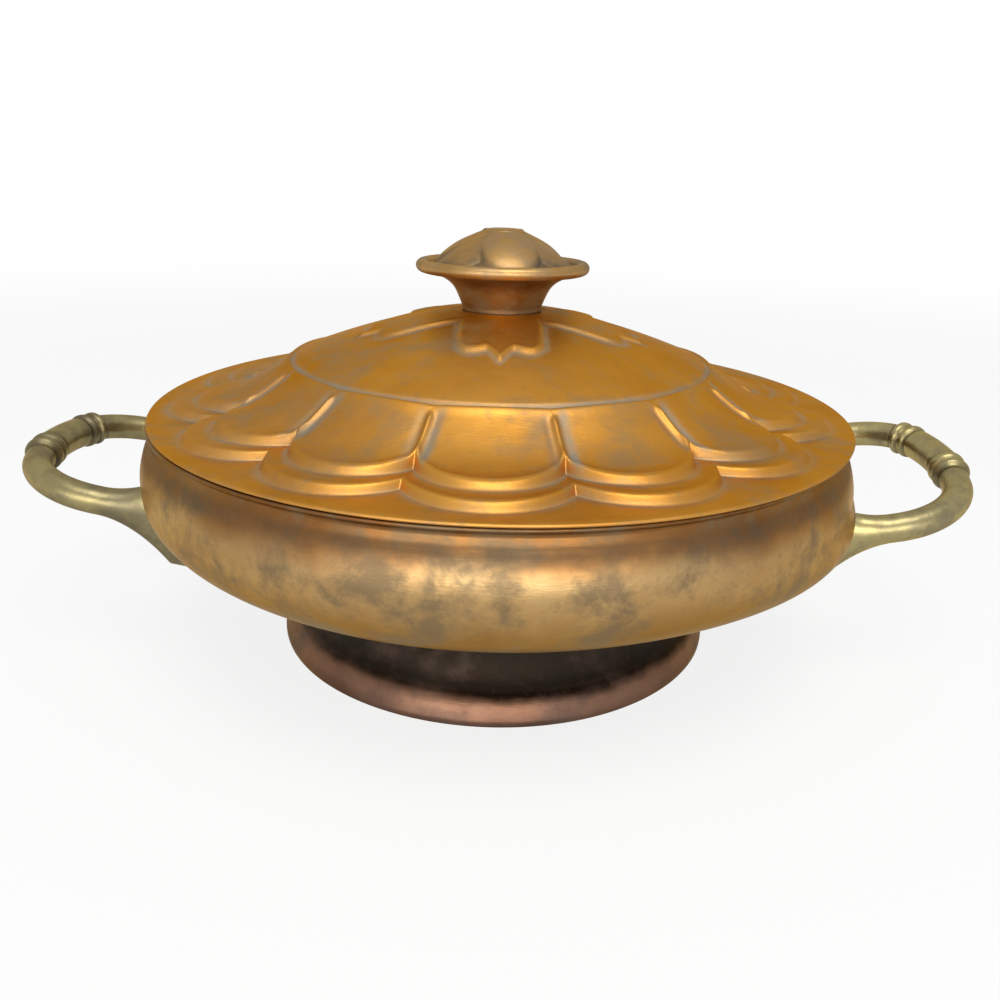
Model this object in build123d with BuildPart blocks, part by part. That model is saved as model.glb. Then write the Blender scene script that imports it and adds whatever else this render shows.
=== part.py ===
from build123d import *
import os
from math import cos, degrees, radians, sin, tan

# Round copper tureen on a pedestal foot, with a worked lid and two cast brass handles.
# The origin is the centre of the foot on the table, +Z is up and the handles lie along X.

# Bowl: one copper sheet raised to shape
bowl_sheet = 1.2
floor_radius = 50.0
floor_height = 24.5
neck_radius = 121.5
belly_bulge = 5.0
belly_height = 66.0
crease_bulge = 2.8
crease_height = 77.0
mouth_flange = 1.6
mouth_bend = 1.0
mouth_height = 85.2

# Foot: spun copper pedestal, open underneath
foot_sheet = 1.2
foot_radius = 82.2
foot_edge_height = 1.8
foot_band_height = 10.0
foot_band_width = 5.3
foot_waist_radius = 71.2
foot_hem_width = 1.4
foot_hem_height = 3.5
foot_solder_leg = 4.0

# Lid: one copper sheet worked from behind
lid_sheet = 1.0
lid_overhang = 1.1
lid_seat_gap = 0.3
panel_count = 14
panel_turn = -1.15
outer_cusp_radius = 103.0
outer_bulge_radius = 115.5
inner_cusp_radius = 92.3
inner_bulge_radius = 106.0
outer_step = 2.3
panel_foot_rise = 3.9
panel_cusp_rise = 5.8
ring_radius = 74.5
ring_rise = 16.3
ring_bead = 0.8
dome_rise = 32.3
dome_seat_radius = 14.5
rib_width = 2.2
rib_proud = 1.2
flower_petals = 5
flower_half_width = 13.0
flower_corner = 44.0
flower_tip = 52.5
flower_proud = 1.0

# Collar that drops inside the mouth, and the solder that holds it
collar_sheet = 1.0
collar_clearance = 0.8
collar_depth = 8.0
collar_solder_leg = 1.8

# Knob: trumpet cup, rosette cap, and the stud that holds both to the lid
knob_sheet = 1.0
knob_foot_radius = 13.3
knob_height = 15.8
knob_rim_radius = 30.5
knob_rim_bead = 2.1
cap_clearance = 0.2
cap_sheet = 1.0
cap_rise = 10.6
bud_radius = 6.4
bud_rise = 1.6
petal_count = 6
petal_half_width = 9.0
petal_reach = 24.0
petal_proud = 1.3
stud_radius = 2.5
stud_clearance = 0.15
stud_head_radius = 5.0
stud_head_height = 1.6
stud_tail = 3.0
washer_radius = 7.0
washer_thickness = 1.2
nut_radius = 4.6
nut_height = 4.0

# Handles: cast brass loops, each lying in a plane that rises away from the belly
rod_radius = 4.9
grip_radius = 5.7
grip_half_length = 11.5
bead_radius = 1.5
bead_first = 13.4
bead_pitch = 4.8
handle_overhang = 39.0
handle_length = 54.0
handle_half_width = 38.0
grip_bow_radius = 50.0
grip_bow_angle = 20.0
arm_taper_angle = 6.0
handle_rise_angle = 15.0
root_height = 54.0
root_half_height = 11.5
root_half_width = 5.6
root_flare = 21.0
root_sink = 14.0
tenon_radius = 2.5
tenon_clearance = 0.1
tenon_root = 3.0
tenon_head_radius = 4.0
tenon_head_height = 1.5
rove_radius = 6.0
rove_thickness = 1.8

# How each handle was set by hand: turn round the bowl, twist of its loop, lift, and shift of its grip
right_setting = (-1.5, 6.5, 0.6, 8.0)
left_setting = (181.5, 0.0, -1.6, -5.0)

belly_radius = neck_radius + belly_bulge
crease_radius = neck_radius + crease_bulge
mouth_radius = neck_radius + mouth_flange
lid_radius = mouth_radius + lid_overhang

brim_under = mouth_height + lid_seat_gap
brim_top = brim_under + lid_sheet
step_top = brim_top + outer_step
panel_foot_top = brim_top + panel_foot_rise
ring_top = brim_top + ring_rise
dome_top = brim_top + dome_rise
flange_under = mouth_height - bowl_sheet
collar_radius = neck_radius - bowl_sheet - collar_clearance
knob_rim_height = dome_top + knob_height
rim_centre_radius = knob_rim_radius - knob_rim_bead
cap_radius = rim_centre_radius - knob_rim_bead - cap_clearance

os.makedirs("parts", exist_ok=True)


def draw_bowl(inset):
    """Side of the bowl's sheet that is inset from its outside, from the axis to the mouth, on XZ."""
    spread = belly_radius - floor_radius
    bottom = Line((0, floor_height + inset), (floor_radius, floor_height + inset))
    belly = Spline(
        bottom @ 1,
        (floor_radius + 0.29 * spread - 0.3 * inset, floor_height + 3.6 + 0.95 * inset),
        (floor_radius + 0.64 * spread - 0.5 * inset, floor_height + 13.5 + 0.87 * inset),
        (floor_radius + 0.86 * spread - 0.72 * inset, floor_height + 23.0 + 0.7 * inset),
        (belly_radius - inset, belly_height),
        tangents=((1, 0), (0, 1)),
    )
    shoulder = Spline(
        belly @ 1,
        (crease_radius - inset, crease_height),
        tangents=((0, 1), (-0.5, 1)),
    )
    neck = ThreePointArc(
        shoulder @ 1,
        (neck_radius + 0.7 - inset, crease_height + 3.3),
        (neck_radius - inset, flange_under - mouth_bend),
    )
    turn = RadiusArc(
        neck @ 1,
        (neck_radius + mouth_bend, flange_under + inset),
        -mouth_bend - inset,
    )
    Line(turn @ 1, (mouth_radius, flange_under + inset))


def draw_dome(proud):
    """Lid dome from its flat seat to the ring, raised by proud, for a sketch on the XZ plane."""
    seat = Line((0, dome_top + proud), (dome_seat_radius, dome_top + proud))
    slope = Spline(
        seat @ 1,
        (0.66 * dome_seat_radius + 0.34 * ring_radius, dome_top + proud - 0.2 * (dome_rise - ring_rise)),
        (0.33 * dome_seat_radius + 0.67 * ring_radius, dome_top + proud - 0.55 * (dome_rise - ring_rise)),
        (ring_radius, ring_top + proud),
        tangents=((1, -0.04), (1, -0.4)),
    )
    return slope


def draw_scallops(cusp_radius, bulge_radius):
    """Closed outline of round lobes that meet in cusps, one lobe for each panel of the lid."""
    pitch = 360 / panel_count
    for panel in range(panel_count):
        middle = -90 + panel_turn + panel * pitch
        ThreePointArc(
            PolarLine((0, 0), cusp_radius, middle - pitch / 2, mode=Mode.PRIVATE) @ 1,
            PolarLine((0, 0), bulge_radius, middle, mode=Mode.PRIVATE) @ 1,
            PolarLine((0, 0), cusp_radius, middle + pitch / 2, mode=Mode.PRIVATE) @ 1,
        )


def lid_form(inset):
    """Solid form of the lid's worked part, each face moved in by inset, down to the brim's underside."""
    with BuildPart() as panels:
        with BuildSketch(Plane.XZ):
            with BuildLine():
                slope = draw_dome(-inset)
                bead = ThreePointArc(
                    slope @ 1,
                    (ring_radius + 1.2, ring_top - inset + ring_bead * (1 if inset == 0 else 0)),
                    (ring_radius + 2.4, ring_top - inset - 1.4),
                )
                flare = Spline(
                    bead @ 1,
                    (inner_cusp_radius, brim_top + panel_cusp_rise - inset),
                    (inner_bulge_radius, panel_foot_top - inset),
                    tangents=((1, -0.75), (1, -0.05)),
                )
                Polyline(
                    flare @ 1,
                    (inner_bulge_radius, brim_under),
                    (0, brim_under),
                    (0, dome_top - inset),
                )
            make_face()
        revolve(axis=Axis.Z)
        with BuildSketch(Plane.XY.offset(brim_under)):
            with BuildLine():
                draw_scallops(inner_cusp_radius - inset, inner_bulge_radius - inset)
            make_face()
        extrude(amount=dome_top - brim_under + ring_bead, mode=Mode.INTERSECT)
    with BuildPart() as form:
        with BuildSketch(Plane.XY.offset(brim_under)):
            with BuildLine():
                draw_scallops(outer_cusp_radius - inset, outer_bulge_radius - inset)
            make_face()
        extrude(amount=step_top - inset - brim_under)
        add(panels.part)
    return form.part


# Bowl, with a solid copy of its outside that trims what sits against it
with BuildPart() as bowl_block:
    with BuildSketch(Plane.XZ):
        with BuildLine():
            draw_bowl(0)
            Polyline(
                (mouth_radius, flange_under),
                (mouth_radius, mouth_height),
                (0, mouth_height),
                (0, floor_height),
            )
        make_face()
    revolve(axis=Axis.Z)

with BuildPart() as bowl:
    with BuildSketch(Plane.XZ):
        with BuildLine():
            draw_bowl(0)
            Line((mouth_radius, flange_under), (mouth_radius, mouth_height))
            draw_bowl(bowl_sheet)
            Line((0, floor_height), (0, floor_height + bowl_sheet))
        make_face()
    revolve(axis=Axis.Z)

with BuildPart() as bowl_hollow:
    add(bowl_block.part)
    add(bowl.part, mode=Mode.SUBTRACT)


# Handles: one casting for both sides, drawn flat with x outwards and y along the grip
bend_sine = sin(radians(grip_bow_angle))
bend_radius = (handle_half_width - grip_bow_radius * bend_sine) / (1 - bend_sine)
bend_angle = 90 - grip_bow_angle + arm_taper_angle
grip_centre = (handle_length - grip_bow_radius, 0)

with BuildLine() as loop:
    grip_arc = CenterArc(grip_centre, grip_bow_radius, -grip_bow_angle, 2 * grip_bow_angle)
    far_bend = JernArc(grip_arc @ 1, grip_arc % 1, bend_radius, bend_angle)
    near_bend = JernArc(grip_arc @ 0, (grip_arc % 0) * -1, bend_radius, -bend_angle)
    arm_length = (far_bend @ 1).X / cos(radians(arm_taper_angle))
    far_arm = PolarLine(far_bend @ 1, arm_length, direction=far_bend % 1)
    near_arm = PolarLine(near_bend @ 1, arm_length, direction=near_bend % 1)
path = loop.wire()


def along_loop(distance):
    """Location on the loop's path at a distance from its middle, with z along the path."""
    return path.location_at(path.length / 2 + distance, position_mode=PositionMode.LENGTH)


def make_casting(grip_shift):
    """One casting, still flat: rod, thicker grip between two pairs of beads, and two flared roots."""
    with BuildPart() as casting:
        with BuildSketch(Plane(origin=path @ 0, z_dir=path % 0)):
            Circle(rod_radius)
        sweep(path=path)
        grip_start = along_loop(grip_shift - grip_half_length)
        grip_middle = along_loop(grip_shift)
        grip_end = along_loop(grip_shift + grip_half_length)
        with BuildLine() as grip:
            ThreePointArc(grip_start.position, grip_middle.position, grip_end.position)
        with BuildSketch(Plane(origin=grip.wire() @ 0, z_dir=grip.wire() % 0)):
            Circle(grip_radius)
        sweep(path=grip.wire())
        for side in (1, -1):
            for distance in (bead_first, bead_first + bead_pitch):
                with Locations(along_loop(grip_shift + side * distance)):
                    Torus(rod_radius, bead_radius)
            root_y = side * (far_arm @ 1).Y
            flare_y = root_y + side * root_flare * tan(radians(arm_taper_angle))
            with BuildSketch(Plane.YZ.offset(root_flare)):
                with Locations((flare_y, 0)):
                    Circle(rod_radius)
            with BuildSketch(Plane.YZ.offset(0.45 * root_flare)):
                with Locations((0.45 * flare_y + 0.55 * root_y, 0)):
                    Ellipse(rod_radius, 0.7 * rod_radius + 0.3 * root_half_height)
            with BuildSketch(Plane.YZ):
                with Locations((root_y, 0)):
                    Ellipse(root_half_width, root_half_height)
            with BuildSketch(Plane.YZ.offset(-root_sink)):
                with Locations((root_y, 0.3 * root_half_height)):
                    Ellipse(0.8 * root_half_width, 0.5 * root_half_height)
            loft()
    return casting.part


def handle_plane(setting):
    """Plane of one handle's loop, with its origin between the roots and its x outwards."""
    turn, twist, lift, _ = setting
    outwards = Vector(1, 0, 0).rotate(Axis.Y, -handle_rise_angle)
    upwards = Vector(0, 0, 1).rotate(Axis.Y, -handle_rise_angle)
    reach = belly_radius + handle_overhang - handle_length * cos(radians(handle_rise_angle))
    return Plane(
        origin=Vector(reach, 0, 0).rotate(Axis.Z, turn) + Vector(0, 0, root_height + lift),
        x_dir=outwards.rotate(Axis.X, twist).rotate(Axis.Z, turn),
        z_dir=upwards.rotate(Axis.X, twist).rotate(Axis.Z, turn),
    )


def root_seats(setting):
    """Planes on the bowl's outside at one handle's two roots, with z square to the wall."""
    seats = []
    for arm in (far_arm, near_arm):
        root = handle_plane(setting).from_local_coords(arm @ 1)
        wall = bowl_block.faces().sort_by(lambda face: face.distance_to(root))[0]
        seat = wall.closest_points(root)[0]
        seats.append(Plane(origin=seat, z_dir=wall.normal_at(seat)))
    return seats


def make_handle(setting):
    """The casting in its place, cut to the belly, with a headed tenon from each root."""
    with BuildPart() as handle:
        with Locations(handle_plane(setting).location):
            add(make_casting(setting[3]))
        add(bowl_block.part, mode=Mode.SUBTRACT)
        for seat in root_seats(setting):
            with Locations(seat.offset(tenon_root).location):
                Cylinder(
                    tenon_radius,
                    tenon_root + bowl_sheet + rove_thickness,
                    align=(Align.CENTER, Align.CENTER, Align.MAX),
                )
            with Locations(seat.offset(-bowl_sheet - rove_thickness).location):
                Cone(
                    tenon_radius,
                    tenon_head_radius,
                    tenon_head_height,
                    align=(Align.CENTER, Align.CENTER, Align.MAX),
                )
    return handle.part


def make_rove(seat):
    """One washer inside the bowl, round a tenon, cut to the wall that it sits on."""
    with BuildPart() as rove:
        with Locations(seat.offset(-bowl_sheet - rove_thickness).location):
            Cylinder(
                rove_radius,
                2 * rove_thickness,
                align=(Align.CENTER, Align.CENTER, Align.MIN),
            )
            Cylinder(
                tenon_radius + tenon_clearance,
                5 * rove_thickness,
                mode=Mode.SUBTRACT,
            )
        add(bowl_hollow.part, mode=Mode.INTERSECT)
    return rove.part


def make_roves(setting):
    """The two washers of one handle."""
    washers = [make_rove(seat) for seat in root_seats(setting)]
    with BuildPart() as roves:
        add(washers)
    return roves.part


handle_right = make_handle(right_setting)
handle_right.label = "handle_right"
export_step(handle_right, "parts/handle_right.step")

handle_left = make_handle(left_setting)
handle_left.label = "handle_left"
export_step(handle_left, "parts/handle_left.step")

with BuildPart() as drilled_bowl:
    add(bowl.part)
    seats = root_seats(right_setting) + root_seats(left_setting)
    with Locations(*[seat.location for seat in seats]):
        Cylinder(tenon_radius + tenon_clearance, 4 * bowl_sheet, mode=Mode.SUBTRACT)
drilled_bowl.part.label = "bowl"
export_step(drilled_bowl.part, "parts/bowl.step")

handle_roves_right = make_roves(right_setting)
handle_roves_right.label = "handle_roves_right"
export_step(handle_roves_right, "parts/handle_roves_right.step")

handle_roves_left = make_roves(left_setting)
handle_roves_left.label = "handle_roves_left"
export_step(handle_roves_left, "parts/handle_roves_left.step")


# Foot ring, with a folded hem inside its base, cut to the bowl that it carries
foot_wall_top = floor_height + 6.0


def draw_foot(inset):
    """Side of the foot's sheet that is inset from its outside, from the table up, on XZ."""
    edge = Line((foot_radius - inset, 0), (foot_radius - inset, foot_edge_height))
    band = ThreePointArc(
        edge @ 1,
        (foot_radius - 0.34 * foot_band_width - inset, 0.62 * foot_band_height),
        (foot_radius - foot_band_width - inset, foot_band_height),
    )
    ThreePointArc(
        band @ 1,
        (
            0.4 * (foot_radius - foot_band_width) + 0.6 * foot_waist_radius - inset,
            0.55 * foot_band_height + 0.45 * floor_height,
        ),
        (foot_waist_radius - inset, foot_wall_top),
    )


with BuildPart() as foot_ring:
    with BuildSketch(Plane.XZ):
        with BuildLine():
            draw_foot(0)
            Line((foot_waist_radius, foot_wall_top), (foot_waist_radius - foot_sheet, foot_wall_top))
            draw_foot(foot_sheet)
            Line((foot_radius, 0), (foot_radius - foot_sheet, 0))
        make_face()
        with Locations((foot_radius - foot_sheet / 2, 0)):
            Rectangle(
                foot_sheet / 2 + foot_hem_width,
                foot_hem_height,
                align=(Align.MAX, Align.MIN),
            )
    revolve(axis=Axis.Z)
    add(bowl_block.part, mode=Mode.SUBTRACT)
foot_ring.part.label = "foot_ring"
export_step(foot_ring.part, "parts/foot_ring.step")

with BuildPart() as foot_solder:
    solder_outer = foot_waist_radius - foot_sheet / 2
    with BuildSketch(Plane.XZ):
        with BuildLine():
            Polyline(
                (solder_outer, floor_height - 0.25 * foot_solder_leg),
                (solder_outer, foot_wall_top),
                (solder_outer - foot_solder_leg, foot_wall_top),
                (solder_outer - foot_solder_leg, floor_height + 0.85 * foot_solder_leg),
                close=True,
            )
        make_face()
    revolve(axis=Axis.Z)
    add(bowl_block.part, mode=Mode.SUBTRACT)
    add(foot_ring.part, mode=Mode.SUBTRACT)
foot_solder.part.label = "foot_solder"
export_step(foot_solder.part, "parts/foot_solder.step")


# Lid: brim with a rounded edge, scalloped steps, panels between ribs, ring, dome and flower
with BuildPart() as flower:
    with BuildSketch(Plane.XZ):
        with BuildLine():
            slope = draw_dome(flower_proud)
            Polyline(
                slope @ 1,
                (ring_radius, ring_top - lid_sheet / 2),
                (0, ring_top - lid_sheet / 2),
                (0, dome_top + flower_proud),
                (dome_seat_radius, dome_top + flower_proud),
            )
        make_face()
    revolve(axis=Axis.Z)
    with BuildSketch(Plane.XY.offset(ring_top)):
        with PolarLocations(0, flower_petals, start_angle=180):
            Polygon(
                (-flower_half_width, 0),
                (-flower_half_width, flower_corner),
                (-0.35 * flower_half_width, flower_corner - 1.0),
                (0, flower_tip),
                (0.35 * flower_half_width, flower_corner - 1.0),
                (flower_half_width, flower_corner),
                (flower_half_width, 0),
                align=None,
            )
        Circle(dome_seat_radius, mode=Mode.SUBTRACT)
    extrude(amount=dome_rise, mode=Mode.INTERSECT)

with BuildPart() as rib:
    rib_inner = ring_radius + 0.5
    rib_outer = inner_cusp_radius + 0.8
    with BuildSketch(Plane.XZ):
        with BuildLine():
            crest = Spline(
                (rib_inner, ring_top + rib_proud - 0.2),
                (rib_outer, brim_top + panel_cusp_rise + 0.4 * rib_proud),
                tangents=((1, -0.75), (1, -0.25)),
            )
            Polyline(crest @ 1, (rib_outer, brim_top), (rib_inner, brim_top), crest @ 0)
        make_face()
    extrude(amount=rib_width / 2, both=True)

with BuildPart() as lid:
    with BuildSketch(Plane.XZ):
        with BuildLine():
            brim_edge = ThreePointArc(
                (lid_radius - lid_sheet / 2, brim_under),
                (lid_radius, brim_under + lid_sheet / 2),
                (lid_radius - lid_sheet / 2, brim_top),
            )
            Polyline(brim_edge @ 1, (0, brim_top), (0, brim_under), brim_edge @ 0)
        make_face()
    revolve(axis=Axis.Z)
    add(lid_form(0))
    add(flower.part)
    with PolarLocations(0, panel_count, start_angle=-90 + panel_turn + 180 / panel_count):
        add(rib.part)
    add(lid_form(lid_sheet), mode=Mode.SUBTRACT)
    with Locations((0, 0, dome_top)):
        Cylinder(stud_radius + stud_clearance, 3 * lid_sheet, mode=Mode.SUBTRACT)
lid.part.label = "lid"
export_step(lid.part, "parts/lid.step")

with BuildPart() as lid_collar:
    with BuildSketch(Plane.XY.offset(brim_under)):
        Circle(collar_radius)
        Circle(collar_radius - collar_sheet, mode=Mode.SUBTRACT)
    extrude(amount=-collar_depth)
lid_collar.part.label = "lid_collar"
export_step(lid_collar.part, "parts/lid_collar.step")

with BuildPart() as collar_solder:
    corner_radius = collar_radius - collar_sheet
    with BuildSketch(Plane.XZ):
        with BuildLine():
            Polyline(
                (corner_radius, brim_under),
                (corner_radius, brim_under - collar_solder_leg),
                (corner_radius - collar_solder_leg, brim_under),
                close=True,
            )
        make_face()
    revolve(axis=Axis.Z)
collar_solder.part.label = "collar_solder"
export_step(collar_solder.part, "parts/collar_solder.step")


# Knob cup: a trumpet of sheet with a floor, and a bead rolled along its rim
def draw_cup(inset):
    """Side of the cup's sheet that is inset from its outside, from the stud's hole to the rim, on XZ."""
    spread = rim_centre_radius - knob_foot_radius
    floor = Line(
        (stud_radius + stud_clearance, dome_top + inset),
        (knob_foot_radius - inset, dome_top + inset),
    )
    Spline(
        floor @ 1,
        (knob_foot_radius + 0.18 * spread - 0.94 * inset, dome_top + 0.41 * knob_height + 0.34 * inset),
        (knob_foot_radius + 0.42 * spread - 0.7 * inset, dome_top + 0.69 * knob_height + 0.7 * inset),
        (rim_centre_radius - 0.37 * inset, knob_rim_height - knob_rim_bead / 2 + 0.93 * inset),
        tangents=((0.35, 1), (1, 0.4)),
    )


with BuildPart() as knob_cup:
    with BuildSketch(Plane.XZ):
        with BuildLine():
            draw_cup(0)
            Line(
                (rim_centre_radius, knob_rim_height - knob_rim_bead / 2),
                (
                    rim_centre_radius - 0.37 * knob_sheet,
                    knob_rim_height - knob_rim_bead / 2 + 0.93 * knob_sheet,
                ),
            )
            draw_cup(knob_sheet)
            Line(
                (stud_radius + stud_clearance, dome_top),
                (stud_radius + stud_clearance, dome_top + knob_sheet),
            )
        make_face()
        with Locations((rim_centre_radius, knob_rim_height)):
            Circle(knob_rim_bead)
    revolve(axis=Axis.Z)
knob_cup.part.label = "knob_cup"
export_step(knob_cup.part, "parts/knob_cup.step")


# Knob cap: a domed disc inside the rolled rim, with petals round a bud
cap_base = knob_rim_height - 0.6
cap_edge = cap_base + 1.2
cap_top = cap_edge + cap_rise


def cap_form(proud, inset):
    """Solid of revolution under the cap's dome raised by proud, or moved in by inset."""
    with BuildPart() as form:
        with BuildSketch(Plane.XZ):
            with BuildLine():
                wall = Line(
                    (cap_radius - inset, cap_base - inset),
                    (cap_radius - inset, cap_edge + proud - inset),
                )
                dome = Spline(
                    wall @ 1,
                    (0.84 * (cap_radius - inset), cap_edge + 0.28 * cap_rise + proud - inset),
                    (0.54 * (cap_radius - inset), cap_edge + 0.65 * cap_rise + proud - inset),
                    (0.8 * bud_radius, cap_top + proud - inset),
                    tangents=((-0.6, 1), (-1, 0.2)),
                )
                Polyline(
                    dome @ 1,
                    (0, cap_top + proud - inset),
                    (0, cap_base - inset),
                    wall @ 0,
                )
            make_face()
        revolve(axis=Axis.Z)
    return form.part


def raised_petals(proud, start_angle):
    """Every second petal of the cap, raised by proud above its dome."""
    with BuildPart() as petals:
        with BuildSketch(Plane.XY.offset(cap_base)):
            with PolarLocations(0, petal_count // 2, start_angle=start_angle):
                with Locations((petal_reach - petal_half_width, 0)):
                    Circle(petal_half_width)
                    Rectangle(
                        petal_reach - petal_half_width,
                        2 * petal_half_width,
                        align=(Align.MAX, Align.CENTER),
                    )
        extrude(amount=2 * cap_rise)
        add(cap_form(proud, 0), mode=Mode.INTERSECT)
    return petals.part


with BuildPart() as knob_cap:
    add(cap_form(0, 0))
    add(raised_petals(petal_proud / 2, -90 + 180 / (petal_count // 2)))
    add(raised_petals(petal_proud, -90))
    with Locations((0, 0, cap_top - cap_sheet / 2)):
        Cylinder(
            bud_radius,
            cap_sheet / 2 + 0.6 * bud_rise,
            align=(Align.CENTER, Align.CENTER, Align.MIN),
        )
    with Locations((0, 0, cap_top + 0.6 * bud_rise)):
        Cone(
            bud_radius,
            0.6 * bud_radius,
            0.4 * bud_rise,
            align=(Align.CENTER, Align.CENTER, Align.MIN),
        )
    add(cap_form(0, cap_sheet), mode=Mode.SUBTRACT)
knob_cap.part.label = "knob_cap"
export_step(knob_cap.part, "parts/knob_cap.step")


# Stud from inside the cap down through the cup and the lid, with its washer and nut
stud_top = cap_top - cap_sheet - stud_clearance
washer_under = dome_top - lid_sheet - washer_thickness
with BuildPart() as knob_stud:
    with Locations((0, 0, stud_top)):
        Cylinder(
            stud_head_radius,
            stud_head_height,
            align=(Align.CENTER, Align.CENTER, Align.MAX),
        )
        Cylinder(
            stud_radius,
            stud_top - washer_under + nut_height + stud_tail,
            align=(Align.CENTER, Align.CENTER, Align.MAX),
        )
knob_stud.part.label = "knob_stud"
export_step(knob_stud.part, "parts/knob_stud.step")

with BuildPart() as knob_washer:
    with BuildSketch(Plane.XY.offset(washer_under)):
        Circle(washer_radius)
        Circle(stud_radius + stud_clearance, mode=Mode.SUBTRACT)
    extrude(amount=washer_thickness)
knob_washer.part.label = "knob_washer"
export_step(knob_washer.part, "parts/knob_washer.step")

with BuildPart() as knob_nut:
    with BuildSketch(Plane.XY.offset(washer_under)):
        RegularPolygon(nut_radius, 6)
        Circle(stud_radius, mode=Mode.SUBTRACT)
    extrude(amount=-nut_height)
knob_nut.part.label = "knob_nut"
export_step(knob_nut.part, "parts/knob_nut.step")
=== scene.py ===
import math

import bpy
import numpy as np
from mathutils import Matrix, Vector


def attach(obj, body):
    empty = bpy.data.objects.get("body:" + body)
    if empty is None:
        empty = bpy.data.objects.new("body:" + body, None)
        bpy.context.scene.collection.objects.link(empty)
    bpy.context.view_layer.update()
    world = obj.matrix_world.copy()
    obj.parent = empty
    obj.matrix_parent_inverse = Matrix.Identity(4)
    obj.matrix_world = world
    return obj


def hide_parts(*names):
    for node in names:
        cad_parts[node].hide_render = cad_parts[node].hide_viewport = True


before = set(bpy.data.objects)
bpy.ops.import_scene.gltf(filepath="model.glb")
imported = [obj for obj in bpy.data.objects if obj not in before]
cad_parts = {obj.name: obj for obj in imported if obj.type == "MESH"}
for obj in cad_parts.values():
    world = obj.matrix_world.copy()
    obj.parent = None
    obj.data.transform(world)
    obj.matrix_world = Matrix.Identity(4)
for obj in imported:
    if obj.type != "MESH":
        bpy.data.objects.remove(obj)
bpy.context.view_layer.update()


# Table, light and camera. The tureen stands on a plain pale table in soft daylight that comes from
# the camera's side and from above. The camera is 0.31 m away, a little above the knob, and looks down.
def pale_material(name, tint):
    """Matt pale paint that the camera and the metal see as nearly white near the object, with its shadow.

    From 0.4 m to 1.6 m away it fades to plain white, so the table's far edge doesn't show."""
    material = bpy.data.materials.new(name)
    material.use_nodes = True
    nodes, links = material.node_tree.nodes, material.node_tree.links
    shader = nodes["Principled BSDF"]
    shader.inputs["Base Color"].default_value = tint
    shader.inputs["Roughness"].default_value = 0.9
    shader.inputs["Specular IOR Level"].default_value = 0.0
    glow = nodes.new("ShaderNodeEmission")
    glow.inputs["Color"].default_value = (1.0, 1.0, 1.0, 1.0)
    rays = nodes.new("ShaderNodeLightPath")
    seen = nodes.new("ShaderNodeMath")
    seen.operation = "MAXIMUM"
    links.new(rays.outputs["Is Camera Ray"], seen.inputs[0])
    links.new(rays.outputs["Is Glossy Ray"], seen.inputs[1])
    away = nodes.new("ShaderNodeVectorMath")
    away.operation = "LENGTH"
    links.new(nodes.new("ShaderNodeTexCoord").outputs["Object"], away.inputs[0])
    fade = nodes.new("ShaderNodeMapRange")
    fade.interpolation_type = "SMOOTHSTEP"
    fade.inputs["From Min"].default_value = 0.4
    fade.inputs["From Max"].default_value = 1.6
    fade.inputs["To Min"].default_value = 0.82
    links.new(away.outputs["Value"], fade.inputs["Value"])
    part = nodes.new("ShaderNodeMath")
    part.operation = "MULTIPLY"
    links.new(fade.outputs[0], part.inputs[1])
    links.new(seen.outputs[0], part.inputs[0])
    mix = nodes.new("ShaderNodeMixShader")
    links.new(part.outputs[0], mix.inputs["Fac"])
    links.new(shader.outputs[0], mix.inputs[1])
    links.new(glow.outputs[0], mix.inputs[2])
    links.new(mix.outputs[0], nodes["Material Output"].inputs["Surface"])
    return material


table_half = 6
table_corners = [(x * table_half, y * table_half, 0) for x, y in ((-1, -1), (1, -1), (1, 1), (-1, 1))]
table_mesh = bpy.data.meshes.new("table")
table_mesh.from_pydata(table_corners, [], [(0, 1, 2, 3)])
table = bpy.data.objects.new("table", table_mesh)
bpy.context.collection.objects.link(table)
table_mesh.materials.append(pale_material("table_paint", (0.86, 0.86, 0.85, 1.0)))

sky = bpy.data.worlds.new("soft_sky")
bpy.context.scene.world = sky
sky.use_nodes = True
sky_nodes, sky_links = sky.node_tree.nodes, sky.node_tree.links
sky_light = sky_nodes["Background"]
sky_light.inputs["Color"].default_value = (0.90, 0.95, 1.0, 1.0)
sky_light.inputs["Strength"].default_value = 0.45
sky_seen = sky_nodes.new("ShaderNodeBackground")
sky_seen.inputs["Color"].default_value = (1.0, 1.0, 1.0, 1.0)
sky_seen.inputs["Strength"].default_value = 1.0
sky_rays = sky_nodes.new("ShaderNodeLightPath")
sky_mix = sky_nodes.new("ShaderNodeMixShader")
sky_max = sky_nodes.new("ShaderNodeMath")
sky_max.operation = "MAXIMUM"
sky_gloss = sky_nodes.new("ShaderNodeMath")
sky_gloss.operation = "MULTIPLY"
sky_gloss.inputs[1].default_value = 0.55
sky_links.new(sky_rays.outputs["Is Glossy Ray"], sky_gloss.inputs[0])
sky_links.new(sky_rays.outputs["Is Camera Ray"], sky_max.inputs[0])
sky_links.new(sky_gloss.outputs[0], sky_max.inputs[1])
sky_links.new(sky_max.outputs[0], sky_mix.inputs["Fac"])
sky_links.new(sky_light.outputs[0], sky_mix.inputs[1])
sky_links.new(sky_seen.outputs[0], sky_mix.inputs[2])
sky_links.new(sky_mix.outputs[0], sky_nodes["World Output"].inputs["Surface"])


def soft_lamp(name, place, aim, size, power, tint):
    """Rectangular lamp of size (width, height) at place, in metres, that faces aim."""
    lamp = bpy.data.lights.new(name, "AREA")
    lamp.shape = "RECTANGLE"
    lamp.size, lamp.size_y = size
    lamp.energy = power
    lamp.color = tint
    holder = bpy.data.objects.new(name, lamp)
    bpy.context.collection.objects.link(holder)
    holder.location = place
    holder.rotation_euler = (Vector(aim) - Vector(place)).to_track_quat("-Z", "Y").to_euler()


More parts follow.
